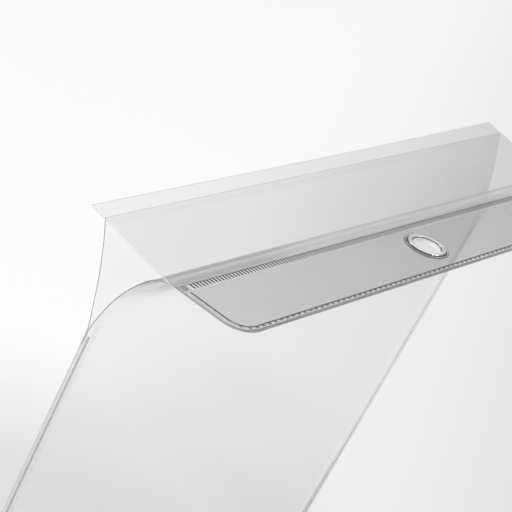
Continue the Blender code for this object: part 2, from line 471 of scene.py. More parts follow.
class NodeGraph:
    """The nodes of a new material or world, added one by one from left to right."""

    def __init__(self, owner: Owner) -> None:
        """Starts an empty graph.

        Args:
            owner: The material or world.
        """
        owner.use_nodes = True
        self.owner = owner
        self.tree = owner.node_tree
        self.tree.nodes.clear()
        kind = "World" if isinstance(owner, bpy.types.World) else "Material"
        self.output = self.add("Output" + kind)

    def add(
        self, kind: str, feeds: Mapping[str | int, Feed] | None = None, **settings: str
    ) -> bpy.types.Node:
        """Adds a node.

        Args:
            kind: Type of the shader node.
            feeds: For inputs by name or number, an output to link or a constant.
            settings: Properties of the node.

        Returns:
            The new node.
        """
        node = self.tree.nodes.new("ShaderNode" + kind)
        node.location.x = NODE_SPACING * len(self.tree.nodes)
        for key, setting in settings.items():
            setattr(node, key, setting)
        for key, feed in (feeds or {}).items():
            if isinstance(feed, Socket):
                self.tree.links.new(feed, node.inputs[key])
            else:
                node.inputs[key].default_value = feed
        return node

    def noise(self, scale: float, detail: float) -> Socket:
        """The level of noise over the object, by its fineness and number of finer layers."""
        place = self.add("TexCoord").outputs["Object"]
        return self.add("TexNoise", {0: place, 2: scale, 3: detail}).outputs["Fac"]

    def math(self, operation: str, *values: Feed) -> Socket:
        """The result of a math operation on numbers."""
        return self.add("Math", dict(enumerate(values)), operation=operation).outputs[0]

    def measure(self, operation: str, *values: Feed) -> Socket:
        """The number that an operation on vectors gives."""
        node = self.add("VectorMath", dict(enumerate(values)), operation=operation)
        return node.outputs["Value"]

    def mix(self, share: Feed, first: Feed, second: Feed) -> Socket:
        """A number between two others, by a share from 0 to 1."""
        return self.add("Mix", {0: share, 2: first, 3: second}, data_type="FLOAT").outputs[0]

    def step(
        self, value: Socket, span: Pair, levels: Pair = (0.0, 1.0), kind: str = "SMOOTHSTEP"
    ) -> Socket:
        """A number that goes from one level to another while the value crosses a span."""
        feeds = dict(enumerate((value, *span, *levels)))
        return self.add("MapRange", feeds, interpolation_type=kind).outputs["Result"]

    def ramp(
        self, value: Socket, stops: Sequence[tuple[float, Colour]], kind: str = "LINEAR"
    ) -> Socket:
        """Colours along a number from 0 to 1.

        Args:
            value: The number that leads.
            stops: Places with their colours, the first of them at 0.
            kind: The way from one colour to the next.

        Returns:
            The colour.
        """
        node = self.add("ValToRGB", {"Fac": value})
        node.color_ramp.interpolation = kind
        elements = node.color_ramp.elements
        elements.remove(elements[1])
        for number, (place, colour) in enumerate(stops):
            element = elements.new(place) if number else elements[0]
            element.color = (*colour, 1.0)
        return node.outputs["Color"]

    def finish(self, *surfaces: Socket, share: Socket | None = None) -> Owner:
        """Links one surface, or two surfaces mixed by a share, to the output.

        Args:
            surfaces: The surfaces.
            share: Share of the second one.

        Returns:
            The material, or the world.
        """
        surface = surfaces[0]
        if share is not None:
            feeds = {0: share, 1: surface, 2: surfaces[1]}
            surface = self.add("MixShader", feeds).outputs[0]
        self.tree.links.new(surface, self.output.inputs["Surface"])
        return self.owner


@dataclass(frozen=True)
class ClearPlastic:
    """Clear glossy plastic: what it lets through, its polish and its unevenness."""

    name: str
    tint: Colour = (0.955, 0.957, 0.958)
    clear: float = 1.0
    coat: float = 0.0
    shadow: float = 0.86
    index: float = 1.5
    polish: Pair = (0.015, 0.05)
    grain: float = 60.0
    grain_detail: float = 4.0
    swell: float = 14.0
    swell_detail: float = 1.0
    swell_height: float = 0.00006

    def material(self) -> Material:
        """Makes the material, with handling haze and a faint swell in the surface.

        Returns:
            The new material.
        """
        graph = NodeGraph(bpy.data.materials.new(self.name))
        haze = graph.noise(self.grain, self.grain_detail)
        swell = graph.noise(self.swell, self.swell_detail)
        bump = graph.add("Bump", {"Height": swell, "Distance": self.swell_height, "Strength": 1.0})
        feeds = {
            "Base Color": (*self.tint, 1.0),
            "IOR": self.index,
            "Transmission Weight": self.clear,
            "Coat Weight": self.coat,
            "Roughness": graph.step(haze, (0.0, 1.0), self.polish, "LINEAR"),
            "Normal": bump.outputs["Normal"],
        }
        body = graph.add("BsdfPrincipled", feeds)
        clear = graph.add("BsdfTransparent", {"Color": (*grey(self.shadow), 1.0)})
        path = graph.add("LightPath").outputs
        return graph.finish(body.outputs[0], clear.outputs[0], share=path["Is Shadow Ray"])


strip_plastic = partial(ClearPlastic, index=1.04, polish=(0.32, 0.45), grain=300.0)
rib_plastic = partial(ClearPlastic, index=1.04, polish=(0.35, 0.5), grain=500.0)
eyelet_plastic = partial(ClearPlastic, index=1.15, coat=1.0, grain=220.0)


@dataclass(frozen=True)
class CutEdge:
    """The film's cut edge as a dull opaque grey; its greys are painted shade and painted light
    that stand in for how light shows the clear edge, darker or paler by place.
    """

    name: str
    light: Colour = (0.32, 0.32, 0.323)
    dark: Colour = (0.2, 0.2, 0.202)
    grain: float = 420.0
    detail: float = 3.0
    roughness: float = 0.45
    specular: float = 0.2

    def material(self) -> Material:
        """Makes the material, with fine cutting marks along the edge.

        Returns:
            The new material.
        """
        graph = NodeGraph(bpy.data.materials.new(self.name))
        marks = graph.noise(self.grain, self.detail)
        feeds = {
            "Base Color": graph.ramp(marks, ((0.0, self.dark), (1.0, self.light))),
            "Roughness": self.roughness,
            "Specular IOR Level": self.specular,
        }
        return graph.finish(graph.add("BsdfPrincipled", feeds).outputs[0])


@dataclass(frozen=True)
class Pinch:
    """How the welds draw the two pouch films together along the sides and below."""

    depth: float = 0.4
    weld: float = 2.4
    ramp: float = 5.0
    opening: float = 9.0

    def at(self, x: float, z: float) -> float:
        """How far each film is drawn in.

        Args:
            x: Place along the width.
            z: Height above the ends of the side welds.

        Returns:
            The distance towards the other film.
        """
        inner = HALF_WIDTH - self.weld - self.ramp
        side = smooth((abs(x) - inner) / self.ramp) * (1.0 - smooth(z / self.opening))
        below = smooth((self.weld + self.ramp - PANEL - z) / self.ramp)
        return self.depth * max(side, below)


@dataclass
class FilmSheet:
    """A film cut from flat stock, bent along its side view and given its thickness."""

    name: str
    path: FilmPath
    rows: list[float]
    start_corner: float = 0.0
    end_corner: float = 0.0
    hole: float = 0.0
    inward: float = 0.0
    aside: float = 0.0
    curl: float = 0.0
    curl_start: float = 10.0
    pinch: Pinch = Pinch()

    def bent(self, point: Vector) -> Point:
        """A point of the flat film after bending.

        Args:
            point: Place on the flat film.

        Returns:
            Its place in the shared frame, in millimetres.
        """
        y, z, lean = self.path.at(point.y)
        share = point.y / self.path.length
        aside = smooth((point.x - self.curl_start) / HALF_WIDTH)
        shift = self.inward * self.pinch.at(point.x, z - WELD_ENDS_Z)
        shift += self.curl * share * share * aside
        return (point.x + self.aside, y - math.cos(lean) * shift, z - math.sin(lean) * shift)

    def build(self) -> Shape:
        """Cuts, bends and thickens the film.

        Returns:
            The new piece, in metres, with face number 1 on its cut edge.
        """
        length = self.path.length
        piece = blank(self.name, WIDTH, length)
        if self.start_corner:
            round_corners(piece, self.start_corner, lambda place: place.y < length / 2)
        if self.end_corner:
            end = length - TOLERANCE
            round_corners(piece, self.end_corner, lambda place: place.y > end)
        cut(piece, self.rows, ALONG_Y)
        cut(piece, COLUMNS, ALONG_X)
        move_points(piece, self.bent)
        piece.data.materials.append(None)
        piece.data.materials.append(None)
        wall = piece.modifiers.new("thickness", "SOLIDIFY")
        wall.thickness = FILM
        wall.offset = 0.0
        wall.use_even_offset = True
        wall.material_offset_rim = 1
        apply_modifiers(piece)
        if self.hole:
            punch(piece, self.hole)
        return shrink(piece, FILM_SMOOTHING)


@dataclass
class Films:
    """The four films: back, header cover with the seam, flap, and front with its lip."""

    finish: ClearPlastic = ClearPlastic("clear_film")
    # Cut-edge greys by place: painted shade on most edges and darker on the hem, painted light on
    # the paler copies for the flap, the right-hand edges and the lower left-hand edges.
    edge: CutEdge = CutEdge("film_edge")
    hem_edge: CutEdge = CutEdge("painted_shade_hem_edge", (0.3, 0.3, 0.303), (0.16, 0.16, 0.162))
    painted_light_edge: CutEdge = CutEdge("painted_light_edge", (0.75, 0.75, 0.753), (0.6, 0.6, 0.602))
    painted_light_side_edge: CutEdge = CutEdge("painted_light_side_edge", (0.57, 0.57, 0.573), (0.43, 0.43, 0.432))
    hem_edge_end: float = -11.0
    painted_light_edge_start: float = 113.0
    painted_light_side_drop: float = 5.0
    film_y: float = 0.6
    ply: float = 0.2
    hole: float = 5.65
    seam_end: float = 13.1
    fold: Pair = (8.3, 9.8)
    arch_runs: tuple[Run, ...] = (Run(29.3, 4.1, 36.4), Run(12.1, 36.4, LEAN_TO_HEM))
    lip_foot: float = 0.5
    lip_run: Run = Run(35.5, -9.0, -25.0)
    lip_bend: Pair = (-1.0, 4.0)
    lip_blend: Pair = (-0.5, 3.5)
    flap_root: float = 12.6
    flap_gap: float = 0.02
    flap_axis: float = 13.5
    flap_bend: float = 1.4
    flap_rise: float = 2.624
    flap_reach: float = 36.9
    flap_aside: float = -1.2
    flap_curl: float = 0.8
    flap_blend: float = 3.2
    panel_spans: tuple[Span, ...] = ((1.0, 9.0, 1.3), (9.0, 261.0, 14.0))
    neck: float = 261.0
    neck_step: float = 1.4
    arch_step: float = 0.7
    seam_step: float = 1.0
    fold_step: float = 0.15
    header_step: float = 2.2
    header_margin: float = 0.8
    root_step: float = 0.8
    root_margin: float = 0.3
    flap_bend_span: Span = (0.1, 4.0, 0.2)
    flap_step: float = 4.0
    flap_margin: float = 0.5
    lip_bend_step: float = 0.25
    lip_step: float = 1.2
    lip_margin: float = 0.4

    def build_back(self) -> Shape:
        """Builds the back film with its arch and the lower ply of the header.

        Returns:
            The piece.
        """
        header = Run(self.seam_end - HEM, LEAN_TO_HEM, LEAN_TO_HEM)
        foot = (POUCH_Y - self.film_y, WELD_ENDS_Z - PANEL)
        path = FilmPath(foot, (Run(PANEL), *self.arch_runs, header))
        arch = PANEL + sum(run.length for run in self.arch_runs)
        after, before = (arch + self.seam_end - v for v in self.fold)
        rows = stations(
            *self.panel_spans,
            (self.neck, PANEL, self.neck_step),
            (PANEL, arch, self.arch_step),
            (arch, before, self.seam_step),
            (before, after, self.fold_step),
            (after, path.length - self.header_margin, self.header_step),
        )
        piece = FilmSheet(
            "back_film", path, rows, CORNER, CORNER, hole=self.hole, inward=-1.0
        ).build()
        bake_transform(piece)
        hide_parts("back_sheet", "back_sheet_header")
        return piece

    def build_cover(self) -> Shape:
        """Builds the header's upper film, which runs under the seam to the flap's root.

        Returns:
            The piece.
        """
        length = self.flap_root - self.flap_gap - HEM
        foot = header_point(0.0, HEM, self.ply)
        path = FilmPath(foot[1:], (Run(length, LEAN_TO_FLAP, LEAN_TO_FLAP),))
        before, after = (v - HEM for v in self.fold)
        rows = stations(
            (self.header_margin, before, self.header_step),
            (before, after, self.fold_step),
            (after, path.length - self.root_margin, self.root_step),
        )
        piece = FilmSheet("header_cover_film", path, rows, CORNER, hole=self.hole).build()
        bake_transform(piece)
        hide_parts("header_top_ply", "flap_root_strip")
        return piece

    def build_flap(self) -> Shape:
        """Builds the free flap that lies over the mouth.

        Returns:
            The piece.
        """
        half_bend = self.flap_bend / 2
        lean = self.flap_rise - 90.0
        lead = Run(self.flap_axis - half_bend - self.flap_root, LEAN_TO_FLAP, LEAN_TO_FLAP)
        bend = Run(self.flap_bend, LEAN_TO_FLAP, lean)
        root = header_point(0.0, self.flap_root, self.ply)
        free = Run(self.flap_reach - half_bend, lean, lean)
        path = FilmPath(root[1:], (lead, bend, free))
        rim = path.length - self.flap_margin
        rows = stations(self.flap_bend_span, (self.flap_bend_span[1], rim, self.flap_step))
        piece = FilmSheet(
            "flap_film", path, rows, aside=self.flap_aside, curl=self.flap_curl
        ).build()
        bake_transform(piece)
        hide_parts("flap")
        return piece

    def build_front(self) -> Shape:
        """Builds the front film with its free lip.

        Returns:
            The piece.
        """
        foot = (POUCH_Y + self.film_y, WELD_ENDS_Z - PANEL)
        path = FilmPath(foot, (Run(PANEL + self.lip_foot), self.lip_run))
        before, after = (PANEL + rise for rise in self.lip_bend)
        rows = stations(
            *self.panel_spans,
            (self.neck, before, self.neck_step),
            (before, after, self.lip_bend_step),
            (after, path.length - self.lip_margin, self.lip_step),
        )
        piece = FilmSheet("front_film", path, rows, CORNER, inward=1.0).build()
        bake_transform(piece)
        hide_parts("front_sheet", "front_sheet_lip")
        return piece

    def build(self) -> list[Shape]:
        """Builds and dresses the four films.

        Returns:
            The pieces.
        """
        flap = self.build_flap()
        pieces = [self.build_back(), self.build_cover(), flap, self.build_front()]
        film, edge, hem, pale, side = (
            finish.material()
            for finish in (self.finish, self.edge, self.hem_edge, self.painted_light_edge, self.painted_light_side_edge)
        )
        # Painted shade and painted light: each cut edge gets a darker or paler copy of one grey by
        # its place.
        for piece in pieces:
            for face in piece.data.polygons:
                if face.material_index == 0:
                    continue
                x, y, z = face.center / MM
                if y < self.hem_edge_end:
                    face.material_index = 2
                elif x > self.painted_light_edge_start:
                    face.material_index = 3
                elif x < -self.painted_light_edge_start and z < WELD_ENDS_Z - self.painted_light_side_drop:
                    face.material_index = 4
            dress(piece, film, pale if piece is flap else edge, hem, pale, side)
        return pieces


class RowKind(Enum):
    """What a weld tool leaves in one row of a strip."""

    FLAT = 0
    RIB = 1
    RIDGE = 2


FLAT, RIB, RIDGE = RowKind


@dataclass(frozen=True)
class Row:
    """One row along a weld's strip, how far from its middle it is raised, and how far it carries
    painted shade.
    """

    width: float
    kind: RowKind
    reach: float = math.inf
    painted_shade_reach: float = math.inf


@dataclass
class KnurledStrip:
    """A weld's raised strip with ribs and ridges, made flat and then laid along a line."""

    name: str
    length: float
    pitch: float
    rows: tuple[Row, ...]
    share: float = 0.38
    base: float = 0.1
    height: float = 0.08
    taper: float = 0.06
    crown: float = 0.03
    crown_height: float = 0.03

    @property
    def width(self) -> float:
        """Width of the strip over all its rows."""
        return sum(row.width for row in self.rows)

    def columns(self) -> list[float]:
        """Finds the places along the strip where ribs begin and end.

        Returns:
            The places.
        """
        ribs = round(self.length / self.pitch)
        step = self.length / (ribs + 1.0 - self.share)
        places = [-self.length / 2]
        for number in range(ribs):
            gap = places[0] + number * step + step * (1.0 - self.share)
            places += [gap, gap + step * self.share]
        return [*places, self.length / 2]

    def lines(self) -> list[float]:
        """Places across the strip where its rows begin and end."""
        return list(accumulate((row.width for row in self.rows), initial=-self.width / 2))

    def build(self, lay: Callable[[Vector], Point], materials: Sequence[Material]) -> Shape:
        """Makes the strip flat, raises its ribs and ridges and lays it in place.

        Args:
            lay: Gives the final place of a point of the flat strip.
            materials: The material of the strip, the one of its ridges and that of its ribs,
                if that is another one.

        Returns:
            The new piece, in millimetres.
        """
        columns, lines = self.columns(), self.lines()
        take()
        bpy.ops.mesh.primitive_grid_add(
            x_subdivisions=len(columns) - 1, y_subdivisions=len(lines) - 1, size=1.0
        )
        piece = named(self.name)

        def pick(places: Sequence[float], share: float) -> float:
            """The place for a share of the even grid, which goes from -0.5 to 0.5."""
            return places[round((share + 0.5) * (len(places) - 1))]

        def row_at(place: Vector) -> Row:
            """The row that a place of the flat strip lies in."""
            return self.rows[min(bisect_right(lines, place.y), len(self.rows)) - 1]

        def raised(face: bmesh.types.BMFace, kind: RowKind) -> bool:
            """Says whether a face is raised.

            Args:
                face: A face of the flat strip.
                kind: The kind of row that is being raised.

            Returns:
                True for upper faces of such rows, for ribs only every second one.
            """
            place = face.calc_center_median()
            row = row_at(place)
            if face.normal.z < FACING_UP or place.z < self.base - TOLERANCE:
                return False
            if row.kind is not kind or abs(place.x) > row.reach:
                return False
            return kind is RIDGE or bisect_right(columns, place.x) % 2 == 0

        move_points(
            piece, lambda point: (pick(columns, point.x), pick(lines, point.y), 0.0)
        )
        for material in materials:
            piece.data.materials.append(material)
        with editing(piece):
            extrude(self.base)
            face_out()
            for kind in (RIB, RIDGE):
                select(piece, "FACE", partial(raised, kind=kind))
                for thickness, depth in (
                    (self.taper, self.height), (self.crown, self.crown_height)
                ):
                    bpy.ops.mesh.inset(
                        thickness=thickness, depth=depth, use_individual=kind is RIB
                    )
        # Painted shade: raised faces within the reach take the dark rib or ridge material.
        for face in piece.data.polygons:
            row = row_at(face.center)
            if abs(face.center.x) < row.painted_shade_reach and face.center.z > self.base + TOLERANCE:
                number = 1 if row.kind is RIDGE else 2
                face.material_index = min(number, len(materials) - 1)
        move_points(piece, lay)
        return piece


@dataclass
class HeaderWelds:
    """The knurled weld of the flap seam, and the one round the header's free rim."""

    finish: ClearPlastic = strip_plastic("weld_strip", clear=0.84)
    # Painted shade: the near-black tints of the ribs, ridges and teeth stand in for the dark ticks
    # that light makes in the clear knurl.
    ribs: ClearPlastic = rib_plastic("weld_ribs", tint=(0.04, 0.041, 0.042), clear=0.2)
    rim_finish: ClearPlastic = strip_plastic("rim_strip", clear=0.98)
    rim_ribs: ClearPlastic = rib_plastic("rim_ribs", tint=(0.08, 0.081, 0.083), clear=0.3)
    rim_teeth: ClearPlastic = rib_plastic("rim_teeth", tint=(0.2, 0.201, 0.203), clear=0.3)
    smoothing: float = 50.0
    top: float = 0.37
    seam_middle: float = 11.25
    seam_pitch: float = 1.49
    seam_share: float = 0.45
    seam_margin: float = 3.9
    seam_rows: tuple[Row, ...] = (
        Row(0.1, FLAT), Row(2.15, RIB), Row(0.25, RIDGE), Row(0.1, FLAT),
    )
    end_from_edge: float = 0.3
    end_length: float = 3.0
    end_pitch: float = 0.75
    end_rows: tuple[Row, ...] = (Row(0.2, FLAT), Row(2.2, RIB), Row(0.2, FLAT))
    rim_rows: tuple[Row, ...] = (
        Row(0.25, RIDGE, 110.0), Row(0.45, FLAT), Row(0.7, RIB, painted_shade_reach=113.0),
        Row(0.45, RIDGE), Row(0.05, FLAT),
    )
    rim_from_edge: float = 0.03
    rim_pitch: float = 2.86
    rim_top: float = 8.8
    leg_start: float = 113.0
    leg_ease: float = 4.0
    leg_spread: float = 0.2
    ridge_start: float = 0.45
    ridge_width: float = 0.45

    def build_seam(
        self, materials: Sequence[Material], end_materials: Sequence[Material]
    ) -> Shape:
        """The ribbed weld that joins the flap and the arch, with its two ends.

        Args:
            materials: The materials of the strip and of its ribs.
            end_materials: The same for the two ends.

        Returns:
            The piece.
        """
        length = WIDTH - 2 * self.seam_margin
        strip = KnurledStrip(
            "flap_seam_ribs", length, self.seam_pitch, self.seam_rows, self.seam_share
        )
        piece = strip.build(
            lambda point: header_point(point.x, self.seam_middle + point.y, self.top + point.z),
            materials,
        )
        end = KnurledStrip("seam_end", self.end_length, self.end_pitch, self.end_rows)
        middle = HALF_WIDTH - self.end_from_edge - end.width / 2

        def lay(point: Vector, side: float) -> Point:
            """Lays the denser ribs across one end of the seam, at -1 the left one."""
            v = self.seam_middle - side * point.x
            return header_point(side * (middle + point.y), v, self.top + point.z)

        ends = [end.build(partial(lay, side=side), end_materials) for side in (-1.0, 1.0)]
        take(piece, *ends)
        bpy.ops.object.join()
        shrink(piece, self.smoothing)
        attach(piece, Body.POUCH.value)
        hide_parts("flap_seam_weld")
        return piece

    def build_rim(self, materials: Sequence[Material]) -> Shape:
        """The ribbed weld round the header's hem and its two ends.

        Args:
            materials: The materials of the strip, of its ridges and of its ribs.

        Returns:
            The piece.
        """
        inset = self.rim_from_edge + sum(row.width for row in self.rim_rows) / 2
        line = EdgeLine(inset, HEM, self.rim_top - HEM - CORNER)
        strip = KnurledStrip("header_rim_ribs", line.length, self.rim_pitch, self.rim_rows)

        def lay(point: Vector) -> Point:
            """Lays the flat strip along the rim, with a wider inner ridge on the legs.

            Args:
                point: A point of the flat strip.

            Returns:
                Its final place.
            """
            leg = smooth((abs(point.x) - self.leg_start) / self.leg_ease)
            ridge = smooth((point.y - self.ridge_start) / self.ridge_width)
            x, v = line.at(point.x, point.y + self.leg_spread * leg * ridge)
            return header_point(x, v, self.top + point.z)

        piece = shrink(strip.build(lay, materials), self.smoothing)
        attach(piece, Body.HEADER.value)
        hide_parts("hem_weld", "header_end_weld_left", "header_end_weld_right")
        return piece

    def build(self) -> list[Shape]:
        """Builds and dresses both welds.

        Returns:
            The pieces.
        """
        seam, ribs, *rim = (
            finish.material()
            for finish in (
                self.finish, self.ribs, self.rim_finish, self.rim_ribs, self.rim_teeth
            )
        )
        pieces = [self.build_seam((seam, ribs), (rim[0], ribs)), self.build_rim(rim)]
        return pieces


@dataclass
class PouchWeld:
    """The half-round weld line that runs down both sides and round the lower edge."""

    finish: ClearPlastic = ClearPlastic("pouch_weld", tint=(0.78, 0.782, 0.785))
    smoothing: float = 60.0
    inset: float = 2.0
    half: float = 0.28
    height: float = 0.22
    outer_face: float = 0.37
    top: float = 3.0
    end_cuts: tuple[float, ...] = (0.03, 0.08, 0.16)
    crown_cuts: tuple[float, ...] = (-0.85, -0.55, 0.0, 0.55, 0.85)
    end_floor: float = 0.02
    side_floor: float = 0.01

    def build_bead(self, face: Face) -> Shape:
        """The weld line on one face of the pouch.

        Args:
            face: The outer face it stands on.

        Returns:
            The bead, in millimetres.
        """
        line = EdgeLine(self.inset, WELD_ENDS_Z - PANEL, PANEL - CORNER - self.top)
        length, middle = line.length, line.length / 2
        piece = blank("weld_line_" + face.name.lower(), 2 * self.half, length)
        ends = [*self.end_cuts, self.half]
        turn = stations((HALF_FLAT, HALF_FLAT + line.arc, line.arc / CORNER_STEPS))
        rows = ends + [middle - place for place in turn] + [middle + place for place in turn]
        cut(piece, rows + [length - place for place in ends], ALONG_Y)
        cut(piece, [self.half * share for share in self.crown_cuts], ALONG_X)
        with editing(piece):
            extrude(self.height)
            face_out()

        def lay(point: Vector) -> Point:
            """Rounds the strip's top and ends and lays it along the line.

            Args:
                point: A point of the flat strip.

            Returns:
                Its final place.
            """
            to_end = min(point.y, length - point.y, self.half) / self.half
            end = math.sqrt(max(1.0 - (1.0 - to_end) ** 2, self.end_floor))
            crown = math.sqrt(max(1.0 - (point.x / self.half) ** 2, self.side_floor))
            x, z = line.at(point.y - middle, point.x * end)
            y = self.outer_face + point.z * crown * end
            return (x, face.value * y + POUCH_Y, z)

        move_points(piece, lay)
        with editing(piece):
            face_out()
        return piece

    def build(self) -> Shape:
        """Builds the line on both faces as one piece, and dresses it.

        Returns:
            The piece.
        """
        take(*[self.build_bead(face) for face in (Face.FRONT, Face.BACK)])
        bpy.ops.object.join()
        piece = named("pouch_weld_line")
        shrink(piece, self.smoothing)
        piece.data.materials.append(self.finish.material())
        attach(piece, Body.POUCH.value)
        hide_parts("side_weld_left", "side_weld_right", "bottom_weld")
        return piece


@dataclass
class Eyelet:
    """The clear eyelet: a flange with a raised ring and a rolled barrel, and its washer."""

    finish: ClearPlastic = eyelet_plastic("eyelet_plastic", clear=0.85, polish=(0.01, 0.03))
    # Painted shade: near-black lines at the bore, the bead's foot and the flange's rim stand in
    # for dark edges that light makes in the clear ring.
    edge: ClearPlastic = ClearPlastic(
        "eyelet_painted_outline", tint=(0.02, 0.021, 0.022), clear=0.1, index=1.15, polish=(0.2, 0.3)
    )
    wall: ClearPlastic = eyelet_plastic("eyelet_bore", clear=0.4, polish=(0.1, 0.2))
    smoothing: float = 50.0
    facets: int = 96
    line_width: float = 0.22
    bore: float = 5.0
    barrel: float = 5.5
    flange: float = 8.0
    seat: float = 0.4
    seat_ease: float = 0.06
    rim_height: float = 0.24
    rim_ease: tuple[Pair, ...] = ((0.0, 0.1), (0.05, 0.04), (0.15, 0.01), (0.22, 0.0))
    bead_foot: float = 7.0
    bead_height: float = 0.62
    bead_steps: int = 28
    roll: float = 0.2
    roll_middle: float = -0.9
    roll_steps: int = 10
    roll_lead: Pair = (0.1, 0.05)
    washer: float = 7.4
    washer_top: float = -0.4
    washer_thickness: float = 0.25
    washer_play: float = 0.15
    washer_ease: float = 0.12

    def flange_profile(self) -> list[Pair]:
        """Draws the flange's section.

        Returns:
            Radius and height of its points, once round.
        """
        half = (self.bead_foot - self.bore) / 2
        crest = self.bore + half
        top = self.seat + self.rim_height
        profile = [
            (self.barrel, self.seat),
            (self.flange - self.seat_ease, self.seat),
            (self.flange, self.seat + self.seat_ease),
            *((self.flange - inward, top - drop) for inward, drop in self.rim_ease),
            (self.bead_foot + self.line_width, top),
        ]
        for step in range(self.bead_steps + 1):
            angle = math.pi * step / self.bead_steps
            lift = (self.bead_height - self.rim_height) * math.sin(angle)
            profile.append((crest + half * math.cos(angle), top + lift))
        profile.append((self.bore, self.roll_middle - self.roll + self.roll_lead[0]))
        centre = self.barrel + self.roll
        for step in range(self.roll_steps + 1):
            angle = -math.pi / 2 + math.pi * step / self.roll_steps
            across, lift = self.roll * math.cos(angle), self.roll * math.sin(angle)
            profile.append((centre + across, self.roll_middle + lift))
        profile.append((self.barrel, self.roll_middle + self.roll + self.roll_lead[1]))
        return profile

    def washer_profile(self) -> list[Pair]:
        """Draws the washer's section.

        Returns:
            Radius and height of its points, once round.
        """
        top, bottom = self.washer_top, self.washer_top - self.washer_thickness
        bore, rim, ease = self.barrel + self.washer_play, self.washer, self.washer_ease
        return [
            (bore, top), (rim - ease, top), (rim, top - ease), (rim, bottom + ease),
            (rim - ease, bottom), (bore, bottom),
        ]

    def turn(self, name: str, profile: list[Pair]) -> Shape:
        """Turns a section into a ring by extruding a circle round it.

        Args:
            name: Name of the piece.
            profile: Radius and height of each point of the section.

        Returns:
            The ring, in metres and at the header's tilt.
        """
        take()
        radius, height = profile[0]
        bpy.ops.mesh.primitive_circle_add(vertices=self.facets, radius=radius)
        piece = named(name)
        with editing(piece):
            bpy.ops.transform.translate(value=(0.0, 0.0, height))
            for next_radius, next_height in profile[1:]:
                extrude(next_height - height)
                share = next_radius / radius
                bpy.ops.transform.resize(
                    value=(share, share, 1.0), center_override=(0.0, 0.0, next_height)
                )
                radius, height = next_radius, next_height
            bpy.ops.mesh.select_all(action="DESELECT")
            bpy.ops.mesh.select_non_manifold()
            bpy.ops.mesh.bridge_edge_loops()
            face_out()
        # Painted shade: faces near these lines take the near-black outline material.
        lines = (self.bore, self.bead_foot, self.flange)
        for face in piece.data.polygons:
            reach = math.hypot(face.center.x, face.center.y)
            near = min(abs(reach - line) for line in lines)
            if face.center.z > self.seat and near < self.line_width:
                face.material_index = 1
            elif reach < self.bore + TOLERANCE:
                face.material_index = 2
        move_points(piece, lambda point: header_point(*point))
        return shrink(piece, self.smoothing)

    def build(self) -> list[Shape]:
        """Builds and dresses the flange and the washer.

        Returns:
            The pieces.
        """
        flange = self.turn("eyelet_ring", self.flange_profile())
        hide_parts("eyelet_flange")
        washer = self.turn("eyelet_back_ring", self.washer_profile())
        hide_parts("eyelet_washer")
        materials = [finish.material() for finish in (self.finish, self.edge, self.wall)]
        for piece in (flange, washer):
            dress(piece, *materials)
            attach(piece, Body.HEADER.value)
        return [flange, washer]


@dataclass(frozen=True)
class Lamp:
    """A soft square lamp that lights the pocket, or only shows as a highlight on it."""

    name: str
    place: Point
    size: float
    watts: float
    only_gloss: bool = False
    target: Point = (0.0, 0.0, -0.1)

    def build(self) -> None:
        """Hangs the lamp."""
        light = bpy.data.lights.new(self.name, "AREA")
        light.size = self.size
        light.energy = self.watts
        lamp = bpy.data.objects.new(self.name, light)
        lamp.location = self.place
        lamp.visible_camera = False
        lamp.visible_glossy = self.only_gloss
        lamp.visible_transmission = False
        lamp.visible_diffuse = not self.only_gloss
        look = Vector(self.target) - Vector(self.place)
        lamp.rotation_euler = look.to_track_quat("-Z", "Y").to_euler()
        bpy.context.scene.collection.objects.link(lamp)


